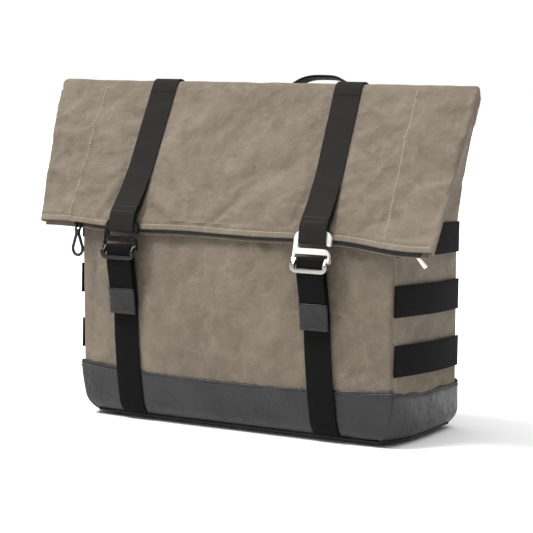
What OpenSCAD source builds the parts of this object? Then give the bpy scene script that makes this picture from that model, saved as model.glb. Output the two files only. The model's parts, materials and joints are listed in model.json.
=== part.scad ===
// Roll-top motorcycle saddlebag: canvas body, leather base, folding zipped flap,
// two webbing closure straps with flat hooks, side webbing and a rear mounting plate.
// Millimetres, +Z up, +Y towards the motorcycle. The origin is on the ground, under the body's centre.

/* [Body] */
// Width of the body between its corner seams
body_w = 456; // [440:2:480]
// Depth of the body between its corner seams
body_d = 170; // [160:2:180]
// Height of the vertical walls, up to the tapered throat
wall_h = 240; // [236:1:244]
// Radius that the walls turn under at the base
edge_r = 26; // [22:1:30]
// How far the loaded front panel bows out
front_bow = 20; // [12:1:22]
// How far each side gusset bows out
side_bow = 5; // [2:1:8]
// Thickness of the lined canvas
canvas_t = 2; // [1.5:0.1:2]

/* [Roll top] */
// Height of the fold line above the ground
fold_z = 428; // [424:1:434]
// Place of the fold line, towards the front
fold_y = -15; // [-18:1:-12]
// Lean of the folded flap from the vertical
flap_lean = 27.3; // [26.5:0.1:28]
// Length of the flap from its fold to its hem
flap_l = 201; // [198:1:203]
// Half width of the flap at the fold
flap_half_top = 303; // [296:1:310]
// Half width of the flap at its hem
flap_half_hem = 287; // [280:1:290]
// Distance from the bag's centre to the flap's corner seams
flap_seam_x = 218; // [210:1:224]
// Thickness of the two folded layers and the space between them
flap_stack = 9; // [8.5:0.1:9]

/* [Webbing] */
// Width of all webbing
web_w = 38; // [36:1:40]
// Thickness of the webbing
web_t = 1.8; // [1.5:0.1:1.8]
// Half of the distance between the closure straps
strap_x = 139.5; // [137:0.5:144]
// Offset of both closure straps from the bag's centre
strap_shift = -5.5; // [-9:0.5:0]
// Height of the lowest side webbing's middle
side_web_z = 103; // [100:1:106]
// Spacing of the side webbings
side_web_pitch = 72; // [70:1:73]

/* [Leather] */
// Top of the front and back leather bands
band_top = 72; // [66:1:80]
// Top of the side leather guards
guard_top = 60; // [54:1:66]
// Thickness of the leather
leather_t = 1.6; // [1.2:0.1:1.8]

/* [Strap hooks] */
// Half of a hook's outer width
hook_half = 25.5; // [25.2:0.1:27]
// Thickness of a hook
hook_t = 3.6; // [3:0.1:4]
// Height of the hook's pin above the ground
pin_z = 225.5; // [224:0.5:228]
// Place of the hook's pin
pin_y = -117; // [-118:0.5:-116.5]
// Lean of the hook from the vertical
hook_lean = 12; // [10:1:13]
// Radius of the hook's pin
pin_r = 2; // [1.8:0.1:2.1]

/* [Rear plate] */
// Width of the rear mounting plate
plate_w = 236; // [230:2:240]
// Height of the rear mounting plate
plate_h = 150; // [146:2:154]
// Thickness of the rear mounting plate
plate_t = 3; // [2:0.5:4]
// Height of the plate's centre above the ground
plate_z = 135; // [125:1:145]
// Spacing of the rack bolts across the bag
bolt_dx = 200; // [190:2:204]
// Spacing of the rack bolts up the bag
bolt_dz = 110; // [100:2:116]
// Radius of the rack bolt holes
bolt_r = 4.2; // [3.3:0.1:4.5]

/* [Hidden] */
$fn = 48;

CANVAS = [0.56, 0.51, 0.45];
LEATHER = [0.16, 0.16, 0.16];
WEBBING = [0.09, 0.09, 0.09];
STEEL = [0.85, 0.85, 0.84];
GUNMETAL = [0.2, 0.2, 0.21];

fold = [fold_y, fold_z];
bow_span = 290;            // height at which the front bow would die out
bow_power = 0.8;           // fullness of the front bow
throat_top = fold_z - 10;  // height of the throat's open end
throat_front_y = -8;       // front wall of the throat's open end
throat_back_y = 2;         // back wall of the throat's open end
throat_back_power = 2;     // roundness of the back wall's turn towards the fold
throat_half_top = flap_half_top - 6;
throat_flare = 1.7;        // how late the throat widens on its way up
welt_r = 1.6;
base_t = 2;
board_t = 3;
plate_y = body_d / 2;
gap = 0.3;                 // air between fabric pieces that lie on each other

zip_t0 = 195.5;            // start of the zip's teeth, down the flap
zip_x0 = -227;             // closed end of the zip
zip_x1 = 275;              // open end of the zip
zip_len = zip_x1 - zip_x0;
slider_x = zip_x1 - 6;
pull_len = 18;
loop_x = zip_x0 + 7;

// ---------- helpers ----------

// Points of an arc about c, from angle a0 to a1
function arc(c, r, a0, a1, n) = [for (i = [0:n]) let (a = a0 + (a1 - a0) * i / n) [c[0] + r * cos(a), c[1] + r * sin(a)]];
function steps(a, b, n) = [for (i = [0:n]) a + (b - a) * i / n];
function reversed(l) = [for (i = [len(l) - 1:-1:0]) l[i]];
function unit(v) = v / norm(v);
// Normal of a path at point i, turned left of its direction
function path_normal(p, i) =
    let (a = p[max(i - 1, 0)], b = p[min(i + 1, len(p) - 1)], d = unit(b - a)) [-d[1], d[0]];
// Closed outline of a ribbon of thickness t along a path
function ribbon(p, t) = concat(
    [for (i = [0:len(p) - 1]) p[i] + path_normal(p, i) * t / 2],
    [for (i = [len(p) - 1:-1:0]) p[i] - path_normal(p, i) * t / 2]);
// A (y, z) point t down the flap from its fold and h out of its outer face
function flap_pt(t, h) = [
    fold[0] - sin(flap_lean) * t - cos(flap_lean) * h,
    fold[1] - cos(flap_lean) * t + sin(flap_lean) * h];
// A (y, z) point of a hook: u up from its pin and v forward of its middle plane
function hook_pt(u, v) = [
    pin_y + sin(hook_lean) * u - cos(hook_lean) * v,
    pin_z + cos(hook_lean) * u + sin(hook_lean) * v];

// Extrudes a (y, z) outline across X about x0
module across(x0, w) { translate([x0 - w / 2, 0, 0]) rotate([90, 0, 90]) linear_extrude(w) children(); }
// Extrudes an (x, z) outline from y0 towards +Y
module rearward(y0, t) { translate([0, y0 + t, 0]) rotate([90, 0, 0]) linear_extrude(t) children(); }
// Local X across the flap, local Y up the flap from its fold, local Z out of its outer face
module on_flap() { translate([0, fold_y, fold_z]) rotate([90 - flap_lean, 0, 0]) children(); }
module on_hook(x0) { translate([x0, pin_y, pin_z]) rotate([90 - hook_lean, 0, 0]) children(); }

// A closed sheet between offsets o0 and o1 of a surface f(u, v, offset)
module sheet(f, us, vs, o0, o1) {
    nu = len(us);
    nv = len(vs);
    n = nu * nv;
    top = [for (v = vs, u = us) f(u, v, o1)];
    low = [for (v = vs, u = us) f(u, v, o0)];
    function at(i, j) = j * nu + i;
    over = [for (j = [0:nv - 2], i = [0:nu - 2])
        each [[at(i, j), at(i, j + 1), at(i + 1, j + 1)], [at(i, j), at(i + 1, j + 1), at(i + 1, j)]]];
    under = [for (t = over) [for (k = [2, 1, 0]) t[k] + n]];
    rim = concat(
        [for (i = [0:nu - 1]) at(i, 0)], [for (j = [1:nv - 1]) at(nu - 1, j)],
        [for (i = [nu - 2:-1:0]) at(i, nv - 1)], [for (j = [nv - 2:-1:1]) at(0, j)]);
    edge = [for (k = [0:len(rim) - 1]) let (a = rim[k], b = rim[(k + 1) % len(rim)])
        each [[a, b, b + n], [a, b + n, a + n]]];
    polyhedron(concat(top, low), concat(over, under, edge));
}

// A closed tube wall between matching outer and inner rings
module tube(outer, inner) {
    nr = len(outer);
    m = len(outer[0]);
    n = nr * m;
    function at(i, j) = j * m + i % m;
    skin = [for (j = [0:nr - 2], i = [0:m - 1])
        each [[at(i, j), at(i, j + 1), at(i + 1, j + 1)], [at(i, j), at(i + 1, j + 1), at(i + 1, j)]]];
    bore = [for (t = skin) [for (k = [2, 1, 0]) t[k] + n]];
    foot = [for (i = [0:m - 1]) each [[at(i, 0), at(i + 1, 0), at(i + 1, 0) + n], [at(i, 0), at(i + 1, 0) + n, at(i, 0) + n]]];
    lip = [for (i = [0:m - 1]) let (a = at(i, nr - 1), b = at(i + 1, nr - 1)) each [[a, b + n, b], [a, a + n, b + n]]];
    polyhedron([for (r = concat(outer, inner)) each r], concat(skin, bore, foot, lip));
}

// ---------- body surfaces ----------

function inset(z) = z < edge_r ? edge_r - sqrt(pow(edge_r, 2) - pow(edge_r - z, 2)) : 0;
function half_w(z) = body_w / 2 - inset(z);
function half_d(z) = body_d / 2 - inset(z);
function bow(z) = front_bow * pow(sin(180 * z / bow_span), bow_power);
function front_at(u, z, off) = [u * (half_w(z) + off), -half_d(z) - off - bow(z) * (1 - pow(u, 4)), z];
function back_at(u, z, off) = [-u * (half_w(z) + off), half_d(z) + off, z];
function side_at(t, z, off) = [half_w(z) + off + side_bow * (1 - t * t), t * (half_d(z) + off), z];

wall_us = steps(-1, 1, 14);
side_ts = steps(-1, 1, 6);
wall_zs = [base_t, 5, 9, 14, 20, 28, 44, guard_top, band_top, 100, 130, 160, 190, 215, wall_h];
function rows(z0, z1) = [for (z = wall_zs) if (z >= z0 && z <= z1) z];

// The throat's cross-section at height z: its corners run from the body's to the fold's ends
function rise(z) = (z - wall_h) / (throat_top - wall_h);
function throat_w(z) = body_w / 2 + (throat_half_top - body_w / 2) * pow(rise(z), throat_flare);
function throat_front(z) = -body_d / 2 + (throat_front_y + body_d / 2) * rise(z);
function throat_back(z) = throat_back_y + (body_d / 2 - throat_back_y) * (1 - pow(rise(z), throat_back_power));
function throat_ring(z, off) = let (w = throat_w(z) + off, f = throat_front(z) - off, b = throat_back(z) + off) concat(
    [for (u = steps(-1, 1, 10)) [u * w, f - bow(wall_h) * (1 - rise(z)) * (1 - pow(u, 4)), z]],
    [for (t = steps(-1, 1, 4)) if (abs(t) < 1) [w + side_bow * (1 - rise(z)) * (1 - t * t), (f + b) / 2 + t * (b - f) / 2, z]],
    [for (u = steps(1, -1, 6)) [u * w, b, z]],
    [for (t = steps(1, -1, 4)) if (abs(t) < 1) [-w - side_bow * (1 - rise(z)) * (1 - t * t), (f + b) / 2 + t * (b - f) / 2, z]]);
throat_zs = steps(wall_h, throat_top, 10);

// ---------- canvas body ----------

module front_panel() color(CANVAS)
    sheet(function(u, z, o) front_at(u, z, o), wall_us, wall_zs, -canvas_t, 0);

module bolt_holes(r, y0, t)
    for (sx = [-1, 1], sz = [-1, 1])
        translate([sx * bolt_dx / 2, y0 - 1, plate_z + sz * bolt_dz / 2])
            rotate([-90, 0, 0]) cylinder(r = r, h = t + 2);

screw_spots = [for (sx = [-1, 1], sz = [-1, 1]) [sx * 50, plate_z + sz * 60]];
module screw_holes(r, y0, t)
    for (s = screw_spots) translate([s[0], y0 - 1, s[1]]) rotate([-90, 0, 0]) cylinder(r = r, h = t + 2);

module back_panel() color(CANVAS) difference() {
    sheet(function(u, z, o) back_at(u, z, o), steps(-1, 1, 4), wall_zs, -canvas_t, 0);
    bolt_holes(bolt_r + 0.8, plate_y - canvas_t, canvas_t);
    screw_holes(2.7, plate_y - canvas_t, canvas_t);
}

module gusset() color(CANVAS)
    sheet(function(t, z, o) side_at(t, z, o), side_ts, wall_zs, -canvas_t, 0);
module right_gusset() gusset();
module left_gusset() mirror([1, 0, 0]) gusset();

// Outline of the walls at height z, seen from above
function plan(z, off) = concat(
    [for (u = wall_us) [front_at(u, z, off)[0], front_at(u, z, off)[1]]],
    [for (t = side_ts) if (abs(t) < 1) [side_at(t, z, off)[0], side_at(t, z, off)[1]]],
    [for (u = steps(-1, 1, 4)) [back_at(u, z, off)[0], back_at(u, z, off)[1]]],
    [for (t = reversed(side_ts)) if (abs(t) < 1) [-side_at(t, z, off)[0], side_at(t, z, off)[1]]]);

module bottom_panel() color(CANVAS) linear_extrude(base_t) polygon(plan(base_t, 0));

module throat() color(CANVAS)
    tube([for (z = throat_zs) throat_ring(z, 0)], [for (z = throat_zs) throat_ring(z, -canvas_t)]);

// The canvas that turns over at the fold, sewn to the throat's back wall
module fold_cap() {
    path = concat([[throat_back_y - canvas_t / 2, throat_top + gap]], arc([throat_back_y - 7, throat_top + 4], 7.5, 10, 80, 5));
    color(CANVAS) across(0, 2 * flap_half_top - 4) polygon(ribbon(path, canvas_t));
}

// ---------- leather ----------

module front_leather_band() color(LEATHER)
    sheet(function(u, z, o) front_at(u, z, o), wall_us, rows(9, band_top), 0.1, leather_t + 0.1);
module back_leather_band() color(LEATHER)
    sheet(function(u, z, o) back_at(u, z, o), steps(-1, 1, 4), rows(9, guard_top), 0.1, leather_t + 0.1);
module leather_guard() color(LEATHER)
    sheet(function(t, z, o) side_at(t, z, o), side_ts, rows(9, guard_top), 0.1, leather_t + 0.1);
module right_leather_guard() leather_guard();
module left_leather_guard() mirror([1, 0, 0]) leather_guard();

// Piping in the seam between the walls and the base
module base_welt() {
    z = 6;
    color(LEATHER) translate([0, 0, z - welt_r]) linear_extrude(2 * welt_r) difference() {
        polygon(plan(z + welt_r, gap + 2));
        polygon(plan(z + welt_r, gap));
    }
}

// ---------- inside ----------

lining_w = 416;
lining_y = [-72, 72];
module lining() color([0.25, 0.25, 0.27]) difference() {
    translate([-lining_w / 2, lining_y[0], base_t + board_t + gap])
        cube([lining_w, lining_y[1] - lining_y[0], wall_h - 12]);
    translate([-lining_w / 2 + 1, lining_y[0] + 1, base_t + board_t + gap + 1])
        cube([lining_w - 2, lining_y[1] - lining_y[0] - 2, wall_h]);
    bolt_holes(bolt_r + 0.8, lining_y[1] - 2, 2);
}

module base_board() color([0.1, 0.1, 0.1]) translate([-lining_w / 2 + 6, lining_y[0] + 8, base_t])
    cube([lining_w - 12, lining_y[1] - lining_y[0] - 16, board_t]);

back_board_y = plate_y - canvas_t - board_t;
module back_board() color([0.1, 0.1, 0.1]) difference() {
    translate([-200, back_board_y, 30]) cube([400, board_t, wall_h - 40]);
    bolt_holes(bolt_r + 0.8, back_board_y, board_t);
    screw_holes(2.7, back_board_y, board_t);
}

// ---------- rear plate ----------

function round_rect(w, h, r) = [for (q = [[1, 1, 0], [-1, 1, 90], [-1, -1, 180], [1, -1, 270]])
    each arc([q[0] * (w / 2 - r), q[1] * (h / 2 - r)], r, q[2], q[2] + 90, 6)];

module screw_sink(y0, extra) for (s = screw_spots)
    translate([s[0], y0, s[1]]) rotate([90, 0, 0]) cylinder(r1 = 5 + extra, r2 = 2.5 + extra, h = 2.5);

module mount_plate() color([0.7, 0.71, 0.72]) difference() {
    rearward(plate_y + gap, plate_t) translate([0, plate_z]) polygon(round_rect(plate_w, plate_h, 14));
    bolt_holes(bolt_r, plate_y + gap, plate_t);
    screw_holes(2.6, plate_y + gap, plate_t);
    screw_sink(plate_y + gap + plate_t, 0.1);
}

// Countersunk screws, flush with the plate
module plate_screws() color(STEEL) for (s = screw_spots) translate([s[0], plate_y + gap + plate_t, s[1]])
    rotate([90, 0, 0]) difference() {
        union() {
            cylinder(r1 = 4.95, r2 = 2.5, h = 2.5);
            cylinder(r = 2.5, h = plate_t + gap + canvas_t + board_t + 3.5);
        }
        translate([0, 0, -1]) cylinder(r = 1.7, h = 2.8, $fn = 6);
    }

module plate_nuts() color(STEEL) for (s = screw_spots) translate([s[0], back_board_y, s[1]])
    rotate([90, 0, 0]) difference() {
        union() {
            cylinder(r = 6.5, h = 0.8);
            translate([0, 0, 0.8]) cylinder(r = 4.4, h = 2.6, $fn = 6);
        }
        translate([0, 0, -1]) cylinder(r = 2.55, h = 6);
    }

// ---------- side webbing ----------

// Three webbing bands sewn at the corner seams, each standing off the gusset in between.
// The top one leans out with the throat.
top_web_lean = 8;
module side_webbing() {
    stand_off = 2.6;
    reach = 0.93;
    span = [for (t = steps(-reach, reach, 12)) let (p = side_at(t, wall_h / 2, 0))
        [p[0] + gap + web_t / 2 + stand_off * cos(90 * t / reach), p[1]]];
    color(WEBBING) for (k = [0:2]) {
        z = side_web_z + k * side_web_pitch - web_w / 2;
        lean = z + web_w > wall_h ? top_web_lean : 0;
        translate([body_w / 2, 0, z]) rotate([0, lean, 0]) translate([-body_w / 2, 0, 0])
            linear_extrude(web_w) polygon(ribbon(span, web_t));
    }
}
module right_side_webbing() side_webbing();
module left_side_webbing() mirror([1, 0, 0]) side_webbing();

// ---------- closure straps ----------

left_x = strap_shift - strap_x;
right_x = strap_shift + strap_x;
wrap_r = pin_r + 0.2 + web_t / 2;
tail_end = 144;

// Place of the body's front face at the straps' innermost edge
function strap_face(z) = front_at((strap_x - abs(strap_shift) - web_w / 2) / half_w(z), z, 0)[1] - leather_t - gap - web_t / 2;
// Up the front from the base seam, over the hook's pin, and down again as a hanging tail
lower_path = concat(
    [for (z = [10, 16, 24, 40, 60, 84, 110, 136, 160]) [strap_face(z) - 0.4, z]],
    [[-110.5, 197], [-111.6, 213]],
    arc([pin_y, pin_z], wrap_r, -10, 190, 14),
    [[pin_y - wrap_r, pin_z - 11.5], [pin_y - wrap_r, pin_z - 21.5], [-116.5, 184], [-113.6, 164], [-112, tail_end]]);
module lower_strap(x0) color(WEBBING) across(x0, web_w - 1) polygon(ribbon(lower_path, web_t));
module left_lower_strap() lower_strap(left_x);
module right_lower_strap() lower_strap(right_x);

// A leather cap folded over the tail's end
module strap_tip(x0) {
    w = web_w + 1;
    path = [[-114.8, 172.5], [-113.6, 164], [-112, tail_end], [-111.7, tail_end - 4]];
    shell = ribbon([for (p = path) p + [-web_t / 2 - 1, 0]], 1.2);
    color(LEATHER) across(x0, w) polygon(shell);
}
module left_strap_tip() strap_tip(left_x);
module right_strap_tip() strap_tip(right_x);

// From a seam on the back panel, up the throat's back wall and over the fold
rear_path = concat(
    [for (z = [214, 226, wall_h]) [plate_y + gap + web_t / 2, z]],
    [for (z = steps(wall_h, throat_top, 10)) if (z > wall_h) [throat_back(z) + gap + web_t / 2 + 1.4 * rise(z), z + 0.8 * rise(z)]],
    arc([throat_back_y - 7, throat_top + 4], 10.4, 20, 74, 5));
module rear_strap(x0) color(WEBBING) across(x0, web_w) polygon(ribbon(rear_path, web_t));
module left_rear_strap() rear_strap(left_x);
module right_rear_strap() rear_strap(right_x);

// Down the flap's outer face, round the hook's top bar and back up under itself
loop_split = 130;
upper_path = concat(
    [flap_pt(2, 1.2), flap_pt(40, 1.2), flap_pt(80, 1.2), flap_pt(loop_split - 12, 1.2)],
    [flap_pt(loop_split, 3.4), flap_pt(150, 5.2), flap_pt(168, 8.6), hook_pt(42, 3.1)],
    [for (a = steps(0, 180, 10)) hook_pt(23 - 3 * sin(a), 3 * cos(a))],
    [hook_pt(40, -2.9), flap_pt(172, 2.2), flap_pt(158, 1.3), flap_pt(loop_split + 3, 1.2)]);
module upper_strap(x0) color(WEBBING) across(x0, web_w) polygon(ribbon(upper_path, web_t));
module left_upper_strap() upper_strap(left_x);
module right_upper_strap() upper_strap(right_x);

// ---------- strap hooks ----------

window = web_w / 2 + 0.5;      // half of the clear width between a hook's legs
ear_t = 2.8;                   // width of each keeper ear
leg_w = 2.8;                   // width of a hook's legs beside its pin
boss_r = 3.4;
bar_low = 24;                  // underside of the bar that the strap's loop hangs on
bar_top = 36;
tip_low = 17.5;                // how far the hook's free tip comes down
cross_low = 7;                 // the closed crossbar above the pin
cross_top = 14;

// Front outline of a hook: x across, y up from its pin. The loop slips in past the free tip.
hook_outline = concat(
    arc([-hook_half + 11, bar_top - 11], 11, 180, 90, 8),
    arc([hook_half - 11, bar_top - 11], 11, 90, 0, 8),
    arc([hook_half - 2.75, tip_low + 2.75], 2.75, 0, -180, 8),
    arc([window - 3.5, bar_low - 4], 4, 0, 90, 5),
    arc([-window + 3, bar_low - 3], 3, 90, 180, 5),
    arc([-window + 3, cross_top + 3], 3, 180, 270, 5),
    arc([hook_half - 9, cross_top - 9], 9, 90, 0, 7),
    [[hook_half, 0], [hook_half - leg_w, 0]],
    arc([hook_half - leg_w - 1, cross_low - 1], 1, 0, 90, 4),
    arc([-hook_half + leg_w + 1, cross_low - 1], 1, 90, 180, 4),
    [[-hook_half + leg_w, 0], [-hook_half, 0]]);

module hook(x0) on_hook(x0) difference() {
    union() {
        translate([0, 0, -hook_t / 2]) linear_extrude(hook_t) polygon(hook_outline);
        for (s = [-1, 1]) translate([s * (hook_half - leg_w / 2) - leg_w / 2, 0, 0])
            rotate([0, 90, 0]) cylinder(r = boss_r, h = leg_w);
    }
    translate([-hook_half - 1, 0, 0]) rotate([0, 90, 0]) cylinder(r = pin_r + 0.05, h = 2 * hook_half + 2);
}
module left_hook() color(GUNMETAL) hook(left_x);
module right_hook() color(STEEL) hook(right_x);

module hook_pin(x0) on_hook(x0) translate([-hook_half, 0, 0]) rotate([0, 90, 0]) cylinder(r = pin_r, h = 2 * hook_half);
module left_hook_pin() color(GUNMETAL) hook_pin(left_x);
module right_hook_pin() color(STEEL) hook_pin(right_x);

// A U-shaped ring hinged on the pin. Its bar presses both layers of the lower strap.
keeper_low = -15;
keeper_bar = 5;
keeper_arm = 4.6;              // width of the ring's arms
keeper_front = 7.5;            // distance of the ring's front face from the pin's axis
keeper_t = 3;
// Side outline of an ear, from its boss down to the ring: it slopes so that the hook can fold down past it
keeper_ear = [[-2.66, 2.11], [-keeper_front, -4], [-keeper_front, -8], [-keeper_front + keeper_t, -8], [0, -boss_r], [0, 0]];
keeper_outline = concat(
    [[-hook_half, -4], [-hook_half + keeper_arm, -4]],
    arc([-hook_half + keeper_arm + 4, keeper_low + keeper_bar + 4], 4, 180, 270, 5),
    arc([hook_half - keeper_arm - 4, keeper_low + keeper_bar + 4], 4, 270, 360, 5),
    [[hook_half - keeper_arm, -4], [hook_half, -4]],
    arc([hook_half - 8, keeper_low + 8], 8, 0, -90, 7),
    arc([-hook_half + 8, keeper_low + 8], 8, 270, 180, 7));

module keeper(x0) translate([x0, pin_y, pin_z]) difference() {
    union() {
        rearward(-keeper_front, keeper_t) polygon(keeper_outline);
        for (s = [-1, 1]) translate([s * (window + 0.3 + ear_t / 2) - ear_t / 2, 0, 0]) {
            rotate([0, 90, 0]) cylinder(r = boss_r, h = ear_t);
            rotate([90, 0, 90]) linear_extrude(ear_t) polygon(keeper_ear);
        }
    }
    translate([-hook_half, 0, 0]) rotate([0, 90, 0]) cylinder(r = pin_r + 0.05, h = 2 * hook_half);
}
module left_keeper() color(GUNMETAL) keeper(left_x);
module right_keeper() color(STEEL) keeper(right_x);

// ---------- carry handle ----------

handle_w = 15;
handle_t = 3.2;
handle_half = 62;
handle_rise = 60;
handle_x = 38;
handle_z = 388;                // height of the line that the handle flexes about
handle_y = throat_back(handle_z) + 6;
handle_lift = 45;              // direction that the handle stands in, above the horizontal

// A flat arched band, sewn to the throat's back wall at both ends
module carry_handle() {
    arch = [for (u = steps(1, -1, 24)) [handle_half * u, handle_w / 2 + handle_rise * (1 - pow(abs(u), 3.2))]];
    color(WEBBING) translate([handle_x, handle_y, handle_z]) rotate([handle_lift, 0, 0])
        translate([0, 0, -handle_t / 2]) linear_extrude(handle_t) polygon(ribbon(arch, handle_w));
}

module handle_tabs() color(LEATHER) for (s = [-1, 1])
    across(handle_x + s * handle_half, 26)
        polygon(ribbon([for (z = steps(352, handle_z, 4)) [throat_back(z) + 1.6, z + 1.2]], 2));

// ---------- flap ----------

module flap_slab(x0, x1, h0, h1, t0 = 1, t1 = flap_l)
    on_flap() translate([x0, -t1, h0]) cube([x1 - x0, t1 - t0, h1 - h0]);

module flap_outer_panel() color(CANVAS) flap_slab(-flap_seam_x, flap_seam_x, -canvas_t, 0);
module flap_inner_panel() color(CANVAS)
    flap_slab(-flap_seam_x, flap_seam_x, -flap_stack, -flap_stack + canvas_t, 6, flap_l + 3);

// The gusset cloth folded flat round each end of the flap
module flap_gusset() {
    function end_x(t) = flap_half_top + (flap_half_hem - flap_half_top) * t / flap_l;
    function leaf(t0, cut) = [[flap_seam_x, -t0], [flap_seam_x, -flap_l], [end_x(flap_l) - cut, -flap_l], [end_x(t0) - cut, -t0]];
    rim = [for (t = [6, flap_l]) [end_x(t), -t]];
    color(CANVAS) on_flap() union() {
        translate([0, 0, -canvas_t]) linear_extrude(canvas_t) polygon(leaf(1, 0));
        translate([0, 0, -flap_stack]) linear_extrude(canvas_t) polygon(leaf(6, 0));
        translate([0, 0, -flap_stack]) linear_extrude(flap_stack)
            polygon([rim[0], rim[1], rim[1] - [canvas_t, 0], rim[0] - [canvas_t, 0]]);
    }
}
module flap_right_gusset() flap_gusset();
module flap_left_gusset() mirror([1, 0, 0]) flap_gusset();

// ---------- zip ----------

zip_h = -flap_stack / 2;       // middle of the space between the flap's layers
tooth_h = 2.2;
tooth_pitch = 5;
tape_t = 0.6;
slider_gap = 3.6;              // height of the slider's channel
slider_wall = 0.6;
slider_h = slider_gap + 2 * slider_wall;
lug_t = 1.4;                   // thickness of the lugs that hold a small pin
eye_r = 0.8;                   // radius of the eyes that turn on those pins

module zip_tapes() color(WEBBING) for (s = [-1, 1])
    on_flap() translate([zip_x0, -zip_t0 - 1, zip_h + s * (tooth_h / 2 + tape_t / 2) - tape_t / 2])
        cube([zip_len, 24, tape_t]);

module zip_teeth() {
    n = floor((zip_len - 24) / tooth_pitch);
    x0 = zip_x0 + 18;
    comb = concat([[x0, -zip_t0]], [for (i = [0:n - 1]) let (x = x0 + i * tooth_pitch, gum = x + tooth_pitch * 0.6)
        each [[x, -zip_t0 - 4], [gum, -zip_t0 - 4], [gum, -zip_t0 - 2.8], [x + tooth_pitch, -zip_t0 - 2.8]]],
        [[x0 + n * tooth_pitch, -zip_t0]]);
    color([0.3, 0.25, 0.2]) on_flap() translate([0, 0, zip_h - tooth_h / 2]) linear_extrude(tooth_h) polygon(comb);
}

// Two lugs and a small pin across them, at a point t down the flap
module pin_lugs(x0, t, reach, half_gap) on_flap() translate([x0, -t, zip_h]) {
    for (s = [-1, 1]) translate([s * (half_gap + lug_t / 2) - lug_t / 2, -1.4, -1.4]) cube([lug_t, reach, 2.8]);
    translate([-half_gap - lug_t, 0, 0]) rotate([0, 90, 0]) cylinder(r = eye_r - 0.08, h = 2 * (half_gap + lug_t));
}

// A stop at the zip's open end, and the closed end's plate with its lugs
loop_t = zip_t0 + 11;
module zip_stops() color(STEEL) {
    on_flap() translate([zip_x1 + 0.4, -zip_t0 - 4, zip_h - slider_h / 2]) cube([3.4, 5, slider_h]);
    on_flap() translate([loop_x - 6, -zip_t0 - 4, zip_h - slider_h / 2]) cube([12, 3, slider_h]);
    pin_lugs(loop_x, loop_t, 8.8, 2.6);
}

// A channel that runs on the teeth, with lugs for the pull
pull_t = zip_t0 + 10;
module zip_slider() color(STEEL) {
    on_flap() translate([slider_x - 5, -zip_t0 - 7, zip_h - slider_h / 2]) difference() {
        cube([10, 8.4, slider_h]);
        translate([-1, 1.8, slider_wall]) cube([12, 10, slider_gap]);
    }
    pin_lugs(slider_x, pull_t, 5.2, 2.6);
}

pull_lean = 42;                // sideways bend of the pull below its eye
pull_pivot = flap_pt(pull_t, zip_h);
module zip_pull() color(STEEL) translate([slider_x, pull_pivot[0], pull_pivot[1]]) difference() {
    union() {
        translate([-2.4, 0, 0]) rotate([0, 90, 0]) cylinder(r = 2, h = 4.8);
        rearward(-1.1, 2.2) polygon([[-2, 0], [-2, -5], [0, -7], [3.4, -4.8], [2, -2.6], [2, 0]]);
        translate([0, 0, -5]) rotate([0, -pull_lean, 0]) {
            translate([-2, -1.1, -pull_len]) cube([4, 2.2, pull_len]);
            translate([0, 0, -pull_len]) cylinder(r = 2.6, h = 8);
        }
    }
    translate([-4, 0, 0]) rotate([0, 90, 0]) cylinder(r = eye_r, h = 8);
}

// A leather loop hanging from the closed end of the zip
loop_pivot = flap_pt(loop_t, zip_h);
module zip_end_loop() {
    w = 9;
    drop = 34;
    function drop_outline(top, r) = concat([[0, top]], arc([0, -drop + w], r, 10, -190, 16));
    color(LEATHER) translate([loop_x, loop_pivot[0], loop_pivot[1]]) difference() {
        rotate([90, 0, 0]) translate([0, 0, -2]) linear_extrude(4) difference() {
            union() {
                polygon(drop_outline(-2, w));
                translate([-2.3, -8]) square([4.6, 10]);
            }
            polygon(drop_outline(-9, w - 3.2));
        }
        translate([-4, 0, 0]) rotate([0, 90, 0]) cylinder(r = eye_r, h = 8);
    }
}

front_panel();
back_panel();
left_gusset();
right_gusset();
bottom_panel();
throat();
fold_cap();
front_leather_band();
back_leather_band();
left_leather_guard();
right_leather_guard();
base_welt();
lining();
base_board();
back_board();
mount_plate();
plate_screws();
plate_nuts();
left_side_webbing();
right_side_webbing();
left_lower_strap();
right_lower_strap();
left_strap_tip();
right_strap_tip();
left_rear_strap();
right_rear_strap();
handle_tabs();
carry_handle();
flap_outer_panel();
flap_inner_panel();
flap_left_gusset();
flap_right_gusset();
zip_tapes();
zip_teeth();
zip_stops();
zip_end_loop();
zip_slider();
zip_pull();
left_upper_strap();
right_upper_strap();
left_hook();
right_hook();
left_hook_pin();
right_hook_pin();
left_keeper();
right_keeper();
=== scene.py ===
import json
import math
import random

import bmesh
import bpy
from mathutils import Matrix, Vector, noise
from mathutils.bvhtree import BVHTree

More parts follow.
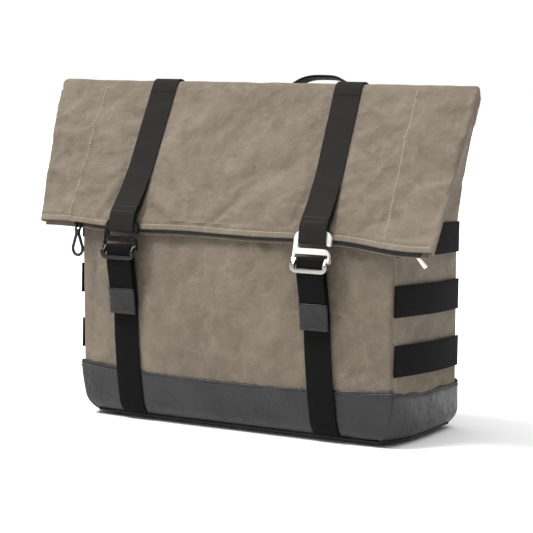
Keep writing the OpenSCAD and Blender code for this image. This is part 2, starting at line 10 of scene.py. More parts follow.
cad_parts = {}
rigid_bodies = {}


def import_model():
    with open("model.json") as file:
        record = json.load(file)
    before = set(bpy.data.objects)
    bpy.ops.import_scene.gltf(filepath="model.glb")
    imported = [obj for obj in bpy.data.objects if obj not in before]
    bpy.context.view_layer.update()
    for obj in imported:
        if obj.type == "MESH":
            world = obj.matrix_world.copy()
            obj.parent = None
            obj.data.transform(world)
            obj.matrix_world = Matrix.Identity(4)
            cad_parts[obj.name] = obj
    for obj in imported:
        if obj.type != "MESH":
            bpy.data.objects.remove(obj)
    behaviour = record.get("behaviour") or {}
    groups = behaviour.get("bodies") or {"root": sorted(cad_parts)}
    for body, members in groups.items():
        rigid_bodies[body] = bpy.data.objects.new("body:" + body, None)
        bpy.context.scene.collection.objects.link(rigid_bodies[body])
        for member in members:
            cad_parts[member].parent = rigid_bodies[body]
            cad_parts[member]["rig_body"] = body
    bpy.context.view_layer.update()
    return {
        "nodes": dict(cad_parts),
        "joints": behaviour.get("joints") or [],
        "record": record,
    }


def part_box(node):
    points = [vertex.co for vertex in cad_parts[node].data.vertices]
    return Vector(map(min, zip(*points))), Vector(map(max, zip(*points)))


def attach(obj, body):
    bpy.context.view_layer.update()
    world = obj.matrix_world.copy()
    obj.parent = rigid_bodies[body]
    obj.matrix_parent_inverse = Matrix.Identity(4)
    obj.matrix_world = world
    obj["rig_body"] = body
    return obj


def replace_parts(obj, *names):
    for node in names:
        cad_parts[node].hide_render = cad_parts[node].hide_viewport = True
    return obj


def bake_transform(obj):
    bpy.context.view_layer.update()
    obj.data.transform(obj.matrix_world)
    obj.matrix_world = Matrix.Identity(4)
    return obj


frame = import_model()
random.seed(11)

MM = 0.001

# ---------------------------------------------------------------- camera

AZIMUTH, ELEVATION = math.radians(31.6), math.radians(6.8)
TARGET = Vector((0, 0, 0.198))
DISTANCE = 2.56
camera_data = bpy.data.cameras.new("camera")
camera_data.lens = 135.6
camera_data.sensor_width = 36
camera = bpy.data.objects.new("camera", camera_data)
bpy.context.scene.collection.objects.link(camera)
away = Vector((
    math.sin(AZIMUTH) * math.cos(ELEVATION), -math.cos(AZIMUTH) * math.cos(ELEVATION), math.sin(ELEVATION)))
camera.location = TARGET + away * DISTANCE
camera.rotation_euler = away.to_track_quat("Z", "Y").to_euler()
bpy.context.scene.camera = camera

# ---------------------------------------------------------------- dimensions, in millimetres from the frame


def edges(node):
    """A CAD node's lowest and highest corner in millimetres."""
    lo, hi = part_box(node)
    return lo / MM, hi / MM


back_lo, back_hi = edges("back_panel")
HALF_W = back_hi.x
HALF_D = back_hi.y
WALL_H = back_hi.z
BASE_T = back_lo.z
FRONT_BOW = -edges("front_panel")[0].y - HALF_D
SIDE_BOW = edges("right_gusset")[1].x - HALF_W
EDGE_R = 26
BOW_SPAN = 290
BOW_POWER = 0.8

hinge = {j["name"]: j for j in frame["joints"]}
FOLD_Y, FOLD_Z = (1000 * c for c in hinge["flap_fold"]["pos_m"][1:])
PIN_Y, PIN_Z = (1000 * c for c in hinge["left_hook_drop"]["pos_m"][1:])
FLAP_LEAN = math.radians(27.3)
FLAP_TOP = edges("flap_right_gusset")[1].x
HEM_LEFT, HEM_RIGHT = 282, 292
LEFT_WING = 9
FLAP_L = 201
STACK = 9
THROAT_TOP = edges("throat")[1].z
THROAT_HALF = edges("throat")[1].x
THROAT_FRONT, THROAT_BACK = -8, 2
THROAT_POWER, THROAT_FLARE = 2, 1.7

WEB_W = edges("right_upper_strap")[1].x - edges("right_upper_strap")[0].x
WEB_T = 1.8
HOOK_LEAN = math.radians(12)


def strap_at(side, s):
    """A closure strap's middle: s is -1 at the base, 0 at its hook and 1 at the fold."""
    foot, ridge = {"left": (0, 2), "right": (5, -6)}[side]
    return 1000 * hinge[side + "_hook_drop"]["pos_m"][0] + (ridge if s > 0 else -foot) * s


def strap_gap(x, s):
    """Distance of x from the nearer strap's middle."""
    return min(abs(x - strap_at(side, s)) for side in ("left", "right"))


def down_front(z):
    return min(0, z / PIN_Z - 1)


def down_flap(t):
    return min(1, max(0, 1 - t / 185))


# ---------------------------------------------------------------- materials


class Look:
    """One node material, built up from its shader."""

    def __init__(self, name, **shader):
        self.material = bpy.data.materials.new(name)
        self.material.use_nodes = True
        self.tree = self.material.node_tree
        self.shader = self.tree.nodes["Principled BSDF"]
        for key, value in shader.items():
            self.shader.inputs[key.replace("_", " ").title().replace("Ior", "IOR")].default_value = value

    def add(self, kind, inputs=None, **settings):
        node = self.tree.nodes.new("ShaderNode" + kind)
        for key, value in settings.items():
            setattr(node, key, value)
        for key, value in (inputs or {}).items():
            if isinstance(value, bpy.types.NodeSocket):
                self.tree.links.new(value, node.inputs[key])
            else:
                node.inputs[key].default_value = value
        return node

    def link(self, socket, key):
        self.tree.links.new(socket, self.shader.inputs[key])

    def place(self, uv):
        """Coordinates in metres: the piece's own cloth coordinates, or its place in the frame."""
        if uv:
            return self.add("UVMap", uv_map="UVMap").outputs["UV"]
        return self.add("TexCoord").outputs["Object"]

    def noise(self, at, scale, detail=3.0, roughness=0.55):
        node = self.add("TexNoise", {"Vector": at, "Scale": scale, "Detail": detail, "Roughness": roughness})
        return node.outputs["Fac"]

    def threads(self, at, pitch, axis):
        """Ridges of one set of threads, pitch metres apart across axis."""
        node = self.add("TexWave", {"Vector": at, "Scale": math.pi / 10 / pitch, "Distortion": 0.6,
                                    "Detail": 1.0, "Detail Scale": 2.0}, bands_direction=axis)
        return node.outputs["Fac"]

    def math(self, operation, a, b):
        return self.add("Math", {0: a, 1: b}, operation=operation).outputs[0]

    def span(self, value, low, high, out_low, out_high):
        node = self.add("MapRange", {"Value": value, "From Min": low, "From Max": high,
                                     "To Min": out_low, "To Max": out_high})
        return node.outputs["Result"]

    def mix(self, factor, a, b):
        node = self.add("Mix", data_type="RGBA")
        for key, value in ((0, factor), (6, a), (7, b)):
            if isinstance(value, bpy.types.NodeSocket):
                self.tree.links.new(value, node.inputs[key])
            else:
                node.inputs[key].default_value = value
        return node.outputs[2]

    def bump(self, height, depth, strength=1.0, under=None):
        inputs = {"Height": height, "Distance": depth, "Strength": strength}
        if under is not None:
            inputs["Normal"] = under
        return self.add("Bump", inputs).outputs["Normal"]


def canvas_look(name, light, dark):
    look = Look(name, roughness=0.82, sheen_weight=0.05, sheen_roughness=0.5, specular_ior_level=0.2)
    at = look.place(True)
    pitch = 0.0009
    weave = look.math("MULTIPLY", look.threads(at, pitch, "X"), look.threads(at, pitch, "Y"))
    clouds = look.noise(at, 8, 6, 0.65)
    crumple = look.math("ABSOLUTE", look.math("SUBTRACT", look.noise(at, 13, 3, 0.5), 0.5), 0)
    crush = look.math("ABSOLUTE", look.math("SUBTRACT", look.noise(at, 34, 2, 0.5), 0.5), 0)
    rubs = look.noise(at, 60, 4, 0.7)
    slubs = look.noise(at, 420, 2)
    tone = look.math("ADD", look.math("MULTIPLY", clouds, 0.6), look.math("MULTIPLY", rubs, 0.4))
    colour = look.mix(look.span(tone, 0.34, 0.64, 0, 1), dark, light)
    rubbed = look.math("MULTIPLY", look.span(crumple, 0.0, 0.022, 0.55, 0), look.span(rubs, 0.4, 0.6, 0, 1))
    colour = look.mix(rubbed, colour, tuple(c * 1.1 for c in light[:3]) + (1,))
    grain = look.span(look.math("MULTIPLY", weave, slubs), 0.0, 0.5, 0.80, 1.12)
    shaded = look.add("VectorMath", {0: colour}, operation="SCALE")
    look.tree.links.new(grain, shaded.inputs["Scale"])
    look.link(shaded.outputs[0], "Base Color")
    look.link(look.span(rubs, 0.3, 0.7, 0.72, 0.9), "Roughness")
    soft = look.bump(clouds, 0.02, 0.5, look.bump(crumple, 0.012, 0.6))
    soft = look.bump(rubs, 0.002, 0.6, look.bump(crush, 0.004, 0.5, soft))
    look.link(look.bump(look.math("ADD", weave, look.math("MULTIPLY", slubs, 0.5)), 0.0002, 0.7, soft), "Normal")
    return look.material


def webbing_look(name, tone, shine):
    look = Look(name, roughness=0.78, specular_ior_level=shine)
    at = look.place(True)
    ribs = look.threads(at, 0.0021, "Y")
    twill = look.threads(at, 0.0017, "DIAGONAL")
    fuzz = look.noise(at, 500, 2)
    height = look.math("ADD", look.math("MULTIPLY", ribs, 0.5), look.math("MULTIPLY", twill, 0.6))
    worn = look.noise(at, 35, 4, 0.7)
    # Painted highlight: the raised ribs and twill are painted lighter than the grooves between them, in patches
    # set by the worn noise, so the mark is partly wear on the raised threads and partly painted highlight.
    lit = tuple(c * 1.9 for c in tone[:3]) + (1,)
    colour = look.mix(look.span(look.math("MULTIPLY", height, worn), 0.1, 0.75, 0, 1), tone, lit)
    look.link(colour, "Base Color")
    look.link(look.bump(look.math("ADD", height, look.math("MULTIPLY", fuzz, 0.35)), 0.0005, 0.85), "Normal")
    return look.material


def leather_look(name, tone, roughness, uv=True):
    look = Look(name, roughness=roughness, specular_ior_level=0.34)
    at = look.place(uv)
    cells = look.add("TexVoronoi", {"Vector": at, "Scale": 800.0, "Randomness": 1.0}).outputs["Distance"]
    pores = look.noise(at, 300, 3)
    # Painted sheen: broad patches of the leather are painted up to the lighter lit tone in place of reflections;
    # the same noise also varies the roughness and the bump.
    sheen_and_relief = look.noise(at, 15, 5, 0.6)
    lit = tuple(c * 2.2 for c in tone[:3]) + (1,)
    look.link(look.mix(look.span(sheen_and_relief, 0.4, 0.7, 0, 1), tone, lit), "Base Color")
    look.link(look.span(sheen_and_relief, 0.3, 0.7, roughness - 0.07, roughness + 0.1), "Roughness")
    soft = look.bump(sheen_and_relief, 0.012, 0.5)
    look.link(look.bump(look.math("ADD", cells, pores), 0.00012, 0.4, soft), "Normal")
    return look.material


def metal_look(name, tone, roughness, metallic=1.0, worn=None):
    look = Look(name, roughness=roughness, metallic=metallic)
    at = look.place(False)
    scuffs = look.noise(at, 240, 4, 0.7)
    smears = look.noise(at, 40, 3)
    other = worn or tuple(c * 0.86 for c in tone[:3]) + (1,)
    look.link(look.mix(look.span(scuffs, 0.55, 0.75, 0, 1), tone, other), "Base Color")
    look.link(look.span(smears, 0.3, 0.7, roughness * 0.8, roughness * 1.35), "Roughness")
    look.link(look.bump(scuffs, 0.00012, 0.25), "Normal")
    return look.material


def plain_look(name, tone, roughness, scale=300.0, depth=0.0002):
    """Boards, lining, thread and other small matt things."""
    look = Look(name, roughness=roughness)
    at = look.place(False)
    grain = look.noise(at, scale, 3)
    lit = tuple(min(1, c * 1.35) for c in tone[:3]) + (1,)
    look.link(look.mix(grain, tone, lit), "Base Color")
    look.link(look.bump(grain, depth, 0.6), "Normal")
    return look.material


CANVAS = canvas_look("canvas", (0.224, 0.187, 0.143, 1), (0.139, 0.112, 0.082, 1))
WEBBING = webbing_look("webbing", (0.0102, 0.009, 0.0082, 1), 0.16)
DARK_WEBBING = webbing_look("dark_webbing", (0.0038, 0.0036, 0.0035, 1), 0.08)
LEATHER = leather_look("leather", (0.0112, 0.0114, 0.0116, 1), 0.34)
LEATHER_TRIM = leather_look("leather_trim", (0.0058, 0.0058, 0.0056, 1), 0.4, uv=False)
NICKEL = metal_look("nickel", (0.93, 0.9, 0.86, 1), 0.42, 0.7)
DARK_NICKEL = metal_look("dark_nickel", (0.36, 0.345, 0.32, 1), 0.24)
BLACK_METAL = metal_look("black_metal", (0.016, 0.0155, 0.0155, 1), 0.24, 0.7, (0.13, 0.12, 0.115, 1))
STEEL = metal_look("plated_steel", (0.5, 0.5, 0.49, 1), 0.33)
ALUMINIUM = metal_look("anodised_aluminium", (0.42, 0.43, 0.44, 1), 0.42)
THREAD = plain_look("thread", (0.40, 0.35, 0.27, 1), 0.8)
DARK_THREAD = plain_look("dark_thread", (0.03, 0.03, 0.03, 1), 0.7)
ZIP_TEETH = plain_look("zip_teeth", (0.035, 0.03, 0.026, 1), 0.45)
ZIP_TAPE = plain_look("zip_tape", (0.012, 0.012, 0.012, 1), 0.85, 900)
LINING = plain_look("lining", (0.09, 0.09, 0.1, 1), 0.85, 900)
BOARD = plain_look("board", (0.03, 0.03, 0.03, 1), 0.7, 120)

# ---------------------------------------------------------------- mesh helpers


def new_piece(name, points, faces, body, material, uvs=None):
    """A mesh piece from points in millimetres. uvs are in metres, one for each point."""
    mesh = bpy.data.meshes.new(name)
    mesh.from_pydata([Vector(p) * MM for p in points], [], faces)
    if uvs:
        layer = mesh.uv_layers.new(name="UVMap")
        for loop in mesh.loops:
            layer.data[loop.index].uv = uvs[loop.vertex_index]
    mesh.materials.append(material)
    for face in mesh.polygons:
        face.use_smooth = True
    piece = bpy.data.objects.new(name, mesh)
    bpy.context.scene.collection.objects.link(piece)
    if body:
        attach(piece, body)
    return piece


def steps(a, b, n):
    return [a + (b - a) * i / n for i in range(n + 1)]


def grid_faces(nu, nv, closed=False):
    faces = []
    for j in range(nv - 1):
        for i in range(nu if closed else nu - 1):
            k = (i + 1) % nu
            faces.append((j * nu + i, j * nu + k, (j + 1) * nu + k, (j + 1) * nu + i))
    return faces


def modify(piece, kind, **settings):
    modifier = piece.modifiers.new(kind.lower(), kind)
    for key, value in settings.items():
        setattr(modifier, key, value)
    return modifier


def bake_modifiers(piece):
    """Replaces a piece's mesh by what its modifiers make of it."""
    graph = bpy.context.evaluated_depsgraph_get()
    mesh = bpy.data.meshes.new_from_object(
        piece.evaluated_get(graph), preserve_all_data_layers=True, depsgraph=graph)
    piece.modifiers.clear()
    old = piece.data
    piece.data = mesh
    bpy.data.meshes.remove(old)


def sheet_piece(name, at, us, vs, thick, body, material, uv_at, finish=None):
    """A cloth or leather sheet: at(u, v) gives its outer face, and thick millimetres lie behind it."""
    points = [at(u, v) for v in vs for u in us]
    uvs = [uv_at(u, v) for v in vs for u in us]
    piece = new_piece(name, points, grid_faces(len(us), len(vs)), body, material, uvs)
    if finish:
        finish(piece)
    modify(piece, "SOLIDIFY", thickness=thick * MM, offset=-1, use_even_offset=True)
    bake_modifiers(piece)
    return piece


def settle(piece, pinned, grow, frames, cap):
    """Cloth simulation: the sheet grows a little between its pinned points and buckles.
    No point moves past cap."""
    before = [v.co.copy() for v in piece.data.vertices]
    group = piece.vertex_groups.new(name="pinned")
    group.add([i for i, p in enumerate(before) if pinned(p / MM)], 1.0, "REPLACE")
    modifier = modify(piece, "CLOTH")
    cloth = modifier.settings
    cloth.quality = 5
    cloth.mass = 0.3
    cloth.tension_stiffness = cloth.compression_stiffness = 12
    cloth.shear_stiffness = 4
    cloth.bending_stiffness = 0.5
    cloth.vertex_group_mass = "pinned"
    cloth.shrink_min = -grow
    cloth.effector_weights.gravity = 0
    modifier.collision_settings.use_collision = False
    modifier.point_cache.frame_end = frames
    for f in range(1, frames + 1):
        bpy.context.scene.frame_set(f)
    graph = bpy.context.evaluated_depsgraph_get()
    moved = [v.co.copy() for v in piece.evaluated_get(graph).data.vertices]
    piece.modifiers.clear()
    piece.vertex_groups.clear()
    bpy.context.scene.frame_set(1)
    for v, was, now in zip(piece.data.vertices, before, moved):
        shift = now - was
        limit = cap * MM
        if shift.length > 0:
            v.co = was + shift * (math.tanh(shift.length / limit) * limit / shift.length)


def curve_points(points, spacing):
    """Points a little apart on a smooth curve through the given ones."""
    pts = [Vector(p) for p in points]
    pts = [2 * pts[0] - pts[1]] + pts + [2 * pts[-1] - pts[-2]]
    out = []
    for a, b, c, d in zip(pts, pts[1:], pts[2:], pts[3:]):
        n = max(1, round((c - b).length / spacing))
        for i in range(n):
            t = i / n
            out.append(0.5 * (2 * b + (c - a) * t + (2 * a - 5 * b + 4 * c - d) * t ** 2
                              + (3 * b - a - 3 * c + d) * t ** 3))
    return out + [pts[-2]]


def ribbon(name, points, across, width, thick, body, material, spacing=2.5, waver=0.25):
    """Flat webbing along a path. across is its width direction, the same all along or one for each point."""
    path = curve_points(points, spacing)
    half, edge = width / 2, thick / 2
    section = [(-half + edge, -edge), (-half * 0.5, -edge * 0.92), (0, -edge), (half * 0.5, -edge * 0.92),
               (half - edge, -edge), (half - edge * 0.3, -edge * 0.7), (half, 0), (half - edge * 0.3, edge * 0.7),
               (half - edge, edge), (half * 0.5, edge * 0.92), (0, edge), (-half * 0.5, edge * 0.92),
               (-half + edge, edge), (-half + edge * 0.3, edge * 0.7), (-half, 0),
               (-half + edge * 0.3, -edge * 0.7)]
    rows, uvs, run = [], [], 0.0
    for i, p in enumerate(path):
        ahead = (path[min(i + 1, len(path) - 1)] - path[max(i - 1, 0)]).normalized()
        side = Vector(across(i / (len(path) - 1)) if callable(across) else across)
        side = (side - ahead * side.dot(ahead)).normalized()
        up = side.cross(ahead)
        run += (p - path[i - 1]).length if i else 0
        shift = waver * noise.noise(Vector((p.x * 0.02, run * 0.02, 3.1)))
        for s, h in section:
            rows.append(p + side * (s + shift) + up * h)
            uvs.append(((s + half) * MM, run * MM))
    n = len(section)
    faces = grid_faces(n, len(path), closed=True)
    faces += [tuple(reversed(range(n))), tuple(range(n * (len(path) - 1), n * len(path)))]
    piece = new_piece(name, rows, faces, body, material, uvs)
    outward(piece)
    return piece


def outward(piece):
    """Makes a closed mesh's faces point outwards."""
    b = bmesh.new()
    b.from_mesh(piece.data)
    bmesh.ops.recalc_face_normals(b, faces=b.faces)
    b.to_mesh(piece.data)
    b.free()


def tube(name, points, radius, body, material, sides=10, spacing=1.5, closed=False):
    """A round cord, lace or piping along a path."""
    path = curve_points(points, spacing)
    if closed:
        path = path[:-1]
    rows, uvs, run = [], [], 0.0
    normal = None
    for i, p in enumerate(path):
        ahead = (path[(i + 1) % len(path)] - path[i - 1]).normalized() if closed else (
            path[min(i + 1, len(path) - 1)] - path[max(i - 1, 0)]).normalized()
        if normal is None:
            normal = ahead.orthogonal().normalized()
        normal = (normal - ahead * normal.dot(ahead)).normalized()
        other = ahead.cross(normal)
        run += (p - path[i - 1]).length if i else 0
        for k in range(sides):
            a = math.tau * k / sides
            rows.append(p + (normal * math.cos(a) + other * math.sin(a)) * radius)
            uvs.append((radius * a * MM, run * MM))
    n = len(path)
    faces = grid_faces(sides, n, closed=True)
    if closed:
        last = (n - 1) * sides
        faces += [(last + k, last + (k + 1) % sides, (k + 1) % sides, k) for k in range(sides)]
    else:
        faces += [tuple(reversed(range(sides))), tuple(range(sides * (n - 1), sides * n))]
    piece = new_piece(name, rows, faces, body, material, uvs)
    outward(piece)
    return piece


def surface_of(piece):
    graph = bpy.context.evaluated_depsgraph_get()
    return BVHTree.FromObject(piece, graph)


def stitches(name, rows, body, material, length=2.7, pitch=4.0, radius=0.42, on=None):
    """Rows of sewn stitches. A row is a list of points with the outward normal of the cloth there."""
    ring = 6
    points, faces = [], []
    for row in rows:
        run = 0.0
        for (a, na), (b, nb) in zip(row, row[1:]):
            a, b, na = Vector(a), Vector(b), Vector(na).normalized()
            seg = (b - a).length
            ahead = (b - a).normalized()
            while run < seg:
                centre = a + ahead * run
                normal = na
                if on:
                    hit = on.ray_cast((centre + normal * 14) * MM, -normal, 0.04)
                    if hit[0] is None:
                        run += pitch
                        continue
                    centre, normal = hit[0] / MM, hit[1].normalized()
                    if normal.dot(na) < 0:
                        normal = -normal
                side = ahead.cross(normal).normalized()
                base = len(points)
                for t, r in ((-0.5, 0.25), (-0.32, 0.9), (0, 1.1), (0.32, 0.9), (0.5, 0.25)):
                    for k in range(ring):
                        w = math.tau * k / ring
                        lift = 0.12 + radius * (0.55 * math.sin(w) - 1.2 * (2 * t) ** 4)
                        across = side * math.cos(w) * radius * r
                        points.append(centre + ahead * t * length + across + normal * lift)
                for j in range(4):
                    for k in range(ring):
                        m = (k + 1) % ring
                        faces.append((base + j * ring + k, base + j * ring + m,
                                      base + (j + 1) * ring + m, base + (j + 1) * ring + k))
                faces.append(tuple(base + k for k in reversed(range(ring))))
                faces.append(tuple(base + 4 * ring + k for k in range(ring)))
                run += pitch
            run -= seg
    piece = new_piece(name, points, faces, body, material)
    outward(piece)
    return piece


def softened(node, material, width=0.6, segments=3):
    """A copy of a CAD piece with rounded edges, in the CAD piece's place."""
    source = frame["nodes"][node]
    piece = bpy.data.objects.new(node + "_finished", source.data.copy())
    bpy.context.scene.collection.objects.link(piece)
    b = bmesh.new()
    b.from_mesh(piece.data)
    bmesh.ops.remove_doubles(b, verts=b.verts, dist=0.00002)
    bmesh.ops.dissolve_limit(b, angle_limit=math.radians(1), verts=b.verts, edges=b.edges)
    bmesh.ops.recalc_face_normals(b, faces=b.faces)
    b.to_mesh(piece.data)
    b.free()
    piece.data.materials.clear()
    piece.data.materials.append(material)
    modify(piece, "BEVEL", width=width * MM, segments=segments, limit_method="ANGLE", angle_limit=math.radians(35))
    bake_modifiers(piece)
    for face in piece.data.polygons:
        face.use_smooth = True
    piece.data.set_sharp_from_angle(angle=math.radians(20))
    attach(piece, source["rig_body"])
    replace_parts(piece, node)
    return piece


def dress(node, material):
    """Gives a CAD piece that stays its material."""
    mesh = frame["nodes"][node].data
    mesh.materials.clear()
    mesh.materials.append(material)


# ---------------------------------------------------------------- the body's surfaces


def inset(z):
    return EDGE_R - math.sqrt(max(0, EDGE_R ** 2 - (EDGE_R - z) ** 2)) if z < EDGE_R else 0


def bow(z):
    return FRONT_BOW * max(0, math.sin(math.pi * z / BOW_SPAN)) ** BOW_POWER


def rise(z):
    return (z - WALL_H) / (THROAT_TOP - WALL_H)


def corners(z):
    """Half width, front and back of the canvas tube at height z."""
    if z <= WALL_H:
        return HALF_W - inset(z), -HALF_D + inset(z), HALF_D - inset(z)
    r = rise(z)
    return (HALF_W + (THROAT_HALF - HALF_W) * r ** THROAT_FLARE, -HALF_D + (THROAT_FRONT + HALF_D) * r,
            THROAT_BACK + (HALF_D - THROAT_BACK) * (1 - r ** THROAT_POWER))


def tuck(z):
    """How far the front corners are drawn in at the base."""
    return 15 * max(0, 1 - z / 66) ** 1.6


def front_raw(u, z, off):
    w, f, _ = corners(z)
    swell = bow(z) if z <= WALL_H else bow(WALL_H) * (1 - rise(z))
    return Vector((u * (w + off) - tuck(z) * u ** 7, f - off - swell * (1 - u ** 4), z))


def side_raw(t, z, off):
    w, f, b = corners(z)
    swell = SIDE_BOW if z <= WALL_H else SIDE_BOW * (1 - rise(z))
    return Vector((w + off + swell * (1 - t * t) - tuck(z) * max(0, -t) ** 4,
                   (f + b) / 2 + t * ((b - f) / 2 + off), z))


def back_raw(u, z, off):
    w, _, b = corners(z)
    return Vector((-u * (w + off), b + off, z))


def eased(raw):
    """Rounds the crease where the walls meet the throat."""
    def at(u, z, off=0.0):
        p = raw(u, z, off)
        span = 16 * max(0, 1 - abs(z - WALL_H) / 40)
        if span > 0:
            q = (raw(u, z - span, off) + raw(u, z + span, off)) / 2
            p = Vector(((p.x + q.x) / 2, (p.y + q.y) / 2, z))
        return p
    return at


front_at, side_at, back_at = eased(front_raw), eased(side_raw), eased(back_raw)


def flap_at(x, t, h=0.0):
    """A point t down the flap from its fold and h out of its outer face."""
    return Vector((x, FOLD_Y - math.sin(FLAP_LEAN) * t - math.cos(FLAP_LEAN) * h,
                   FOLD_Z - math.cos(FLAP_LEAN) * t + math.sin(FLAP_LEAN) * h))


# The flap's outward and downward directions
FLAP_OUT = Vector((0, -math.cos(FLAP_LEAN), math.sin(FLAP_LEAN)))
FLAP_DOWN = Vector((0, -math.sin(FLAP_LEAN), -math.cos(FLAP_LEAN)))


def fade(value, low, high):
    s = min(1, max(0, (value - low) / (high - low)))
    return s * s * (3 - 2 * s)


def crease(p, q, a, b, width, depth):
    """Height of a soft fold from a to b at the place (p, q). A negative depth is a valley."""
    ax, ay, bx, by = *a, *b
    length = math.hypot(bx - ax, by - ay)
    s = ((p - ax) * (bx - ax) + (q - ay) * (by - ay)) / length ** 2
    s = min(1, max(0, s))
    d = math.hypot(p - ax - s * (bx - ax), q - ay - s * (by - ay))
    return depth * math.exp(-(d / width) ** 2) * (0.35 + 0.65 * math.sin(math.pi * min(1, max(0, s * 0.9 + 0.05))))


def ripple(p, q, size, seed, depth):
    return depth * noise.noise(Vector((p / size, q / size, seed)))


def crumple(p, q, size, seed, depth):
    """Sharp-edged dents, as waxed canvas takes."""
    return depth * (0.22 - abs(noise.noise(Vector((p / size, q / size, seed)))))


# ---------------------------------------------------------------- canvas body

FRONT_FOLDS = [
    ((-190, 228), (-120, 150), 9, 2.2), ((-60, 236), (-95, 120), 11, -2.2), ((20, 232), (-10, 110), 13, 2.0),
    ((95, 228), (60, 140), 10, -2.0), ((205, 225), (150, 120), 9, 2.4), ((-205, 150), (-120, 95), 10, -1.8),
    ((215, 150), (130, 90), 10, -1.8), ((-40, 100), (70, 84), 9, 1.5), ((180, 215), (120, 205), 8, -1.6)]


def hold(u, x, z):
    """How free the front is to wrinkle: not at its seams, and not under a strap."""
    return (1 - fade(abs(u), 0.9, 1.0)) * fade(strap_gap(x, down_front(z)), WEB_W * 0.45, WEB_W * 0.85)


def scatter(seed, count, half, low, high, size, depth):
    """Short soft creases at random over a cloth, most of them running down it."""
    pick = random.Random(seed)
    out = []
    for _ in range(count):
        x, y = pick.uniform(-half, half), pick.uniform(low, high)
        turn, reach = pick.gauss(math.pi / 2, 0.75), pick.uniform(0.5, 1.2) * size
        dx, dy = math.cos(turn) * reach, math.sin(turn) * reach
        out.append(((x - dx, y - dy), (x + dx, y + dy), pick.uniform(4.5, 8.5),
                    pick.choice((-1, 1)) * pick.uniform(0.4, 1) * depth))
    return out


FRONT_FOLDS += scatter(5, 26, 215, 85, 235, 30, 1.5)
SIDE_FOLDS = scatter(8, 16, 70, 75, 330, 26, 1.4)


def front_cloth(u, z):
    p = front_at(u, z)
    free = hold(u, p.x, z) * fade(z, 50, 90)
    lift = sum(crease(p.x, z, *f) for f in FRONT_FOLDS)
    lift += ripple(p.x, z * 0.6, 62, 1.7, 2.6) + ripple(p.x, z, 24, 5.2, 0.7) + crumple(p.x, z * 0.7, 47, 6.6, 3.4)
    groove = 1.6 * fade(abs(u), 0.985, 1.0)
    return front_at(u, z, free * lift * 0.8 - groove)


def webbing_middles():
    """Heights of the three side webbings' middles."""
    lo, hi = edges("right_side_webbing")
    return steps(lo.z + WEB_W / 2, hi.z - WEB_W / 2, 2)


def under_webbing(z):
    return 1 - fade(min(abs(z - middle) for middle in webbing_middles()), 20, 34)


def side_cloth(t, z):
    free = (1 - fade(abs(t), 0.82, 1.0)) * (1 - 0.85 * under_webbing(z))
    y = t * 85
    lift = ripple(y, z, 46, 8.4, 2.4) + crumple(y, z, 40, 2.2, 2.8) + sum(crease(y, z, *f) for f in SIDE_FOLDS)
    groove = 1.6 * fade(abs(t), 0.95, 1.0)
    return side_at(t, z, free * lift - groove)


def back_cloth(u, z):
    plate = fade(abs(u * HALF_W), 128, 160) + fade(abs(z - 135), 84, 110)
    lift = min(1, plate) * ripple(u * HALF_W, z, 60, 4.4, 1.6) * (1 - fade(abs(u), 0.92, 1))
    return back_at(u, z, lift - 0.4 - 1.4 * fade(abs(u), 0.985, 1.0))


def wall_rows(low, high, spacing=3.8):
    return steps(low, high, max(2, round((high - low) / spacing)))


wall_zs = [BASE_T, 3.5, 5.5, 8, 11, 14.5, 18.5, 23] + wall_rows(28, THROAT_TOP)
front_us = [-1, -0.995, -0.985] + steps(-0.97, 0.97, 124) + [0.985, 0.995, 1]
gusset_ts = [-1, -0.985, -0.95] + steps(-0.9, 0.9, 32) + [0.95, 0.985, 1]


def front_pins(p):
    edge = abs(p.x) > HALF_W * 0.93 + max(0, p.z - WALL_H) * 0.4
    strap = strap_gap(p.x, down_front(p.z)) < WEB_W * 0.55
    return edge or strap or p.z < 64 or p.z > 300


front_panel = sheet_piece(
    "front_canvas", front_cloth, front_us, wall_zs, 1.6, "bag", CANVAS,
    uv_at=lambda u, z: (u * HALF_W * MM, z * MM),
    finish=lambda piece: settle(piece, front_pins, 0.012, 14, 3.2))
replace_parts(front_panel, "front_panel", "throat")


def flipped(at):
    def mirrored(*args):
        p = at(*args)
        return Vector((-p.x, p.y, p.z))
    return mirrored


def gusset_pins(p):
    edge = p.y < -HALF_D * 0.9 + max(0, p.z - WALL_H) * 0.45 or p.y > HALF_D * 0.88
    return edge or under_webbing(p.z) > 0.5 or p.z < 60 or p.z > 330


for side, at in (("right", side_cloth), ("left", flipped(side_cloth))):
    order = gusset_ts if side == "right" else list(reversed(gusset_ts))
    panel = sheet_piece(
        side + "_gusset_canvas", at, order, wall_zs, 1.6, "bag", CANVAS,
        uv_at=lambda t, z: (t * HALF_D * MM, z * MM),
        finish=lambda piece: settle(piece, gusset_pins, 0.012, 12, 2.5))
    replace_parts(panel, side + "_gusset")

back_panel = sheet_piece(
    "back_canvas", back_cloth, steps(-1, 1, 70), [BASE_T, 4, 8, 14, 21] + wall_rows(28, THROAT_TOP - 6, 6), 1.6,
    "bag", CANVAS, uv_at=lambda u, z: (u * HALF_W * MM, z * MM))
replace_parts(back_panel, "back_panel")

bolts = [m for m in frame["record"]["mounts"] if m["name"] == "rear_bolts"][0]


def drill(piece, spots, radius, y0, y1):
    """Cuts round holes along Y through a sheet."""
    b = bmesh.new()
    for x, z in spots:
        made = bmesh.ops.create_cone(b, cap_ends=True, segments=28, radius1=radius, radius2=radius, depth=y1 - y0)
        for v in made["verts"]:
            v.co = Vector((x + v.co.x, (y0 + y1) / 2 + v.co.z, z + v.co.y)) * MM
    bmesh.ops.recalc_face_normals(b, faces=b.faces)
    mesh = bpy.data.meshes.new("drill")
    b.to_mesh(mesh)
    b.free()
    cutter = bpy.data.objects.new("drill", mesh)
    bpy.context.scene.collection.objects.link(cutter)
    modify(piece, "BOOLEAN", operation="DIFFERENCE", object=cutter, solver="EXACT")
    bake_modifiers(piece)
    bpy.data.objects.remove(cutter)


